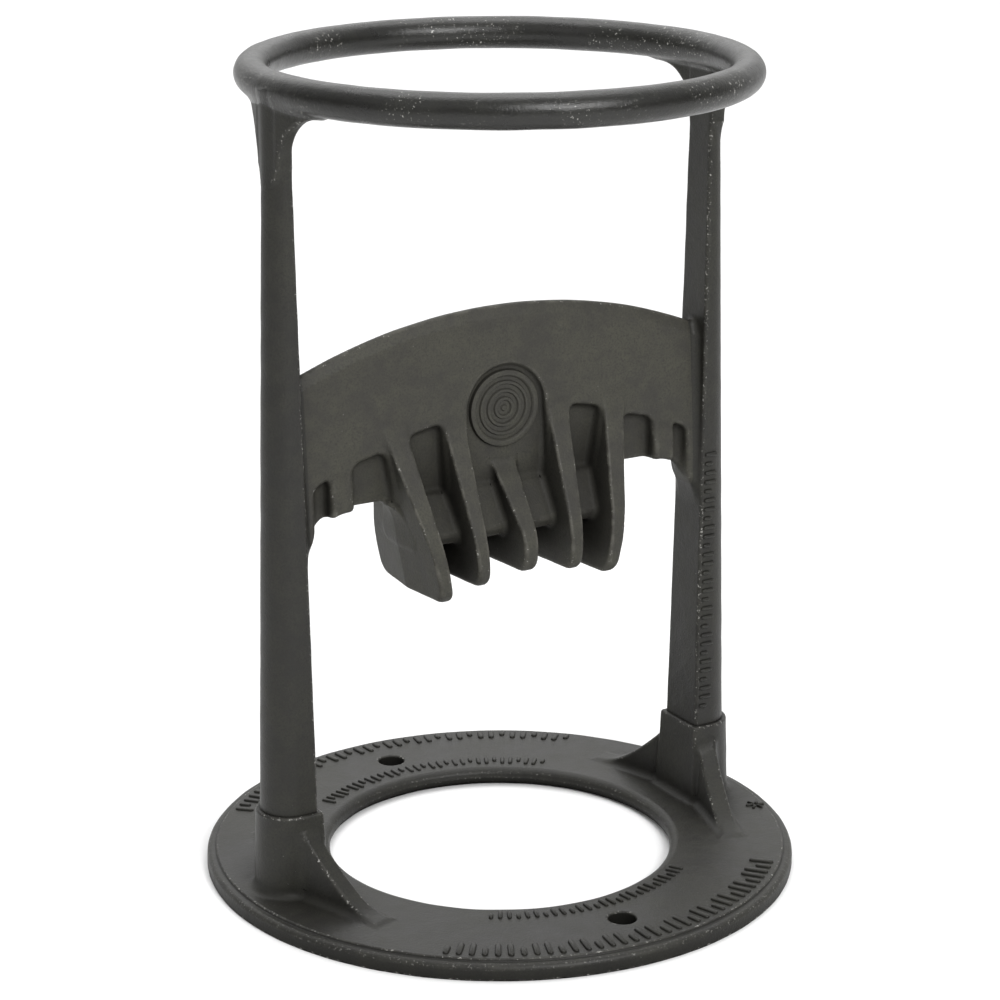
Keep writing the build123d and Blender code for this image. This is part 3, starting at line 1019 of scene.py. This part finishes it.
class Shading:
    """Short forms for building a material's node tree."""

    def __init__(self, name):
        self.paint = bpy.data.materials.new(name)
        self.paint.use_nodes = True
        self.tree = self.paint.node_tree
        self.shader = self.tree.nodes["Principled BSDF"]
        self.place = self.node("ShaderNodeTexCoord").outputs["Object"]

    def node(self, kind, **sockets):
        node = self.tree.nodes.new(kind)
        for socket, value in sockets.items():
            self.feed(node.inputs[socket.replace("_", " ")], value)
        return node

    def feed(self, socket, value):
        if isinstance(value, bpy.types.NodeSocket):
            self.tree.links.new(value, socket)
        else:
            socket.default_value = value

    def noise(self, feature_mm, detail=3.0, roughness=0.55):
        """Noise whose features are about this large."""
        node = self.node(
            "ShaderNodeTexNoise", Vector=self.place, Scale=1 / (feature_mm * MM),
            Detail=detail, Roughness=roughness,
        )
        return node.outputs["Fac"]

    def ramp(self, value, low, high):
        """0 below low, 1 above high, smooth between."""
        node = self.node("ShaderNodeMapRange", Value=value)
        node.interpolation_type = "SMOOTHSTEP"
        node.inputs["From Min"].default_value = low
        node.inputs["From Max"].default_value = high
        return node.outputs["Result"]

    def maths(self, operation, a, b):
        node = self.node("ShaderNodeMath")
        node.operation = operation
        self.feed(node.inputs[0], a)
        self.feed(node.inputs[1], b)
        return node.outputs[0]

    def blend(self, factor, a, b):
        node = self.node("ShaderNodeMix")
        node.data_type = "RGBA"
        self.feed(node.inputs["Factor"], factor)
        self.feed(node.inputs[6], a)
        self.feed(node.inputs[7], b)
        return node.outputs[2]

    def bump(self, height, distance_mm, before=None):
        node = self.node("ShaderNodeBump", Height=height, Distance=distance_mm * MM)
        if before is not None:
            self.feed(node.inputs["Normal"], before)
        return node.outputs["Normal"]


BARE_IRON = (0.30, 0.295, 0.275, 1)
PATCH_MM = 34.0
MOTTLE_MM = 5.5
GRAIN_MM = 0.75
SPECK_MM = 0.95
MOTTLE_BUMP_MM = 0.20
GRAIN_BUMP_MM = 0.12
PAINTED_SHADE_MM = 22.0              # iron nearer than this darkens a place with painted shade


def grey(colour, factor):
    return (*(factor * part for part in colour), 1)


def cast_iron(name, colour, roughness, gloss, wear, flecks):
    """A coated casting: sand-cast grain, a mottled coating, edges worn bright, painted shade in its
    creases and sheltered places.

    gloss is the coating's specular level, lowered by painted shade in sheltered places;
    wear how much of the sharp edges has lost its coating, and flecks how many specks.
    """
    make = Shading(name)
    patches = make.noise(PATCH_MM, 3.0)
    mottle = make.noise(MOTTLE_MM, 4.0, 0.6)
    grain = make.noise(GRAIN_MM, 3.0, 0.65)
    specks = make.noise(SPECK_MM, 2.0)
    relief = make.node("ShaderNodeAttribute")
    relief.attribute_name = "relief"
    relief = relief.outputs["Fac"]
    # painted shade: an ambient occlusion node darkens the coat and lowers its specular level where
    # other iron is near
    painted_shade_ao = make.node("ShaderNodeAmbientOcclusion", Distance=PAINTED_SHADE_MM * MM)
    painted_shade_ao.samples = 8
    clear_of_painted_shade = make.ramp(painted_shade_ao.outputs["AO"], 0.2, 0.95)

    # the coating: mottled and darker in the grain's pits; painted shade darkens it in creases and in
    # sheltered places
    tone = make.maths("MULTIPLY", patches, 0.55)
    tone = make.maths("ADD", tone, make.maths("MULTIPLY", mottle, 0.45))
    olive = (colour[0], colour[1] * 1.02, colour[2] * 0.90)
    coat = make.blend(make.ramp(tone, 0.36, 0.64), grey(colour, 0.84), grey(olive, 1.18))
    coat = make.blend(make.ramp(grain, 0.22, 0.62), grey(colour, 0.72), coat)
    # painted shade: the coat is darkened where the surface curves inwards, in creases and fillets
    crease_painted_shade = make.ramp(make.maths("MULTIPLY", relief, -1.0), 0.05, 0.9)
    coat = make.blend(make.maths("MULTIPLY", crease_painted_shade, 0.45), coat, grey(colour, 0.35))
    # painted shade: sheltered places get a darker coat
    coat = make.blend(clear_of_painted_shade, grey(colour, 0.42), coat)

    # the wear: rubbed edges, bare specks along them, and flecks in some patches
    rubbed = make.maths("MULTIPLY", make.ramp(relief, 0.18, 1.1), make.ramp(mottle, 0.40, 0.66))
    coat = make.blend(make.maths("MULTIPLY", rubbed, 0.5), coat, grey(colour, 2.6))
    edge_specks = make.ramp(specks, 0.78 - wear, 0.90 - wear)
    bare = make.maths("MULTIPLY", make.ramp(relief, 0.22, 0.9), edge_specks)
    loose_specks = make.ramp(specks, 0.80 - flecks, 0.88 - flecks)
    spots = make.maths("MULTIPLY", loose_specks, make.ramp(patches, 0.48, 0.62))
    shine = make.maths("MAXIMUM", bare, spots)
    coat = make.blend(shine, coat, BARE_IRON)
    make.feed(make.shader.inputs["Base Color"], coat)

    rough = make.maths("ADD", make.maths("MULTIPLY", tone, 0.30), roughness - 0.15)
    rough = make.maths("SUBTRACT", rough, make.maths("MULTIPLY", shine, 0.15))
    make.feed(make.shader.inputs["Roughness"], rough)
    # painted shade: the specular level is lowered in sheltered places
    specular = make.maths("MULTIPLY", clear_of_painted_shade, gloss)
    make.feed(make.shader.inputs["Specular IOR Level"], specular)

    normal = make.bump(mottle, MOTTLE_BUMP_MM)
    normal = make.bump(grain, GRAIN_BUMP_MM, normal)
    make.feed(make.shader.inputs["Normal"], normal)
    return make.paint


# each slot's coating
BASE = {
    "iron": (0.024, 0.0232, 0.0208),
    "hoop_iron": (0.014, 0.0137, 0.0125),
    "web_iron": (0.043, 0.0412, 0.036),
}
# roughness, gloss, wear and flecks of each slot's iron
FINISH = {
    "iron": (0.46, 0.27, 0.19, 0.05),
    "hoop_iron": (0.30, 0.40, 0.12, 0.175),
    "web_iron": (0.54, 0.22, 0.14, 0.05),
}
IRON = {}                      # each slot's material, filled in by make_pieces


def make_pieces():
    for slot in frame["record"]["materials"]:
        name = slot["slot"]
        IRON[name] = cast_iron(name, BASE[name], *FINISH[name])
    make_foot()
    make_posts()
    make_hoop()
    make_head()
    make_badges()
    make_ring_bars()
    make_post_bars()
    make_ring_spot()


make_camera()
make_stage()
make_pieces()
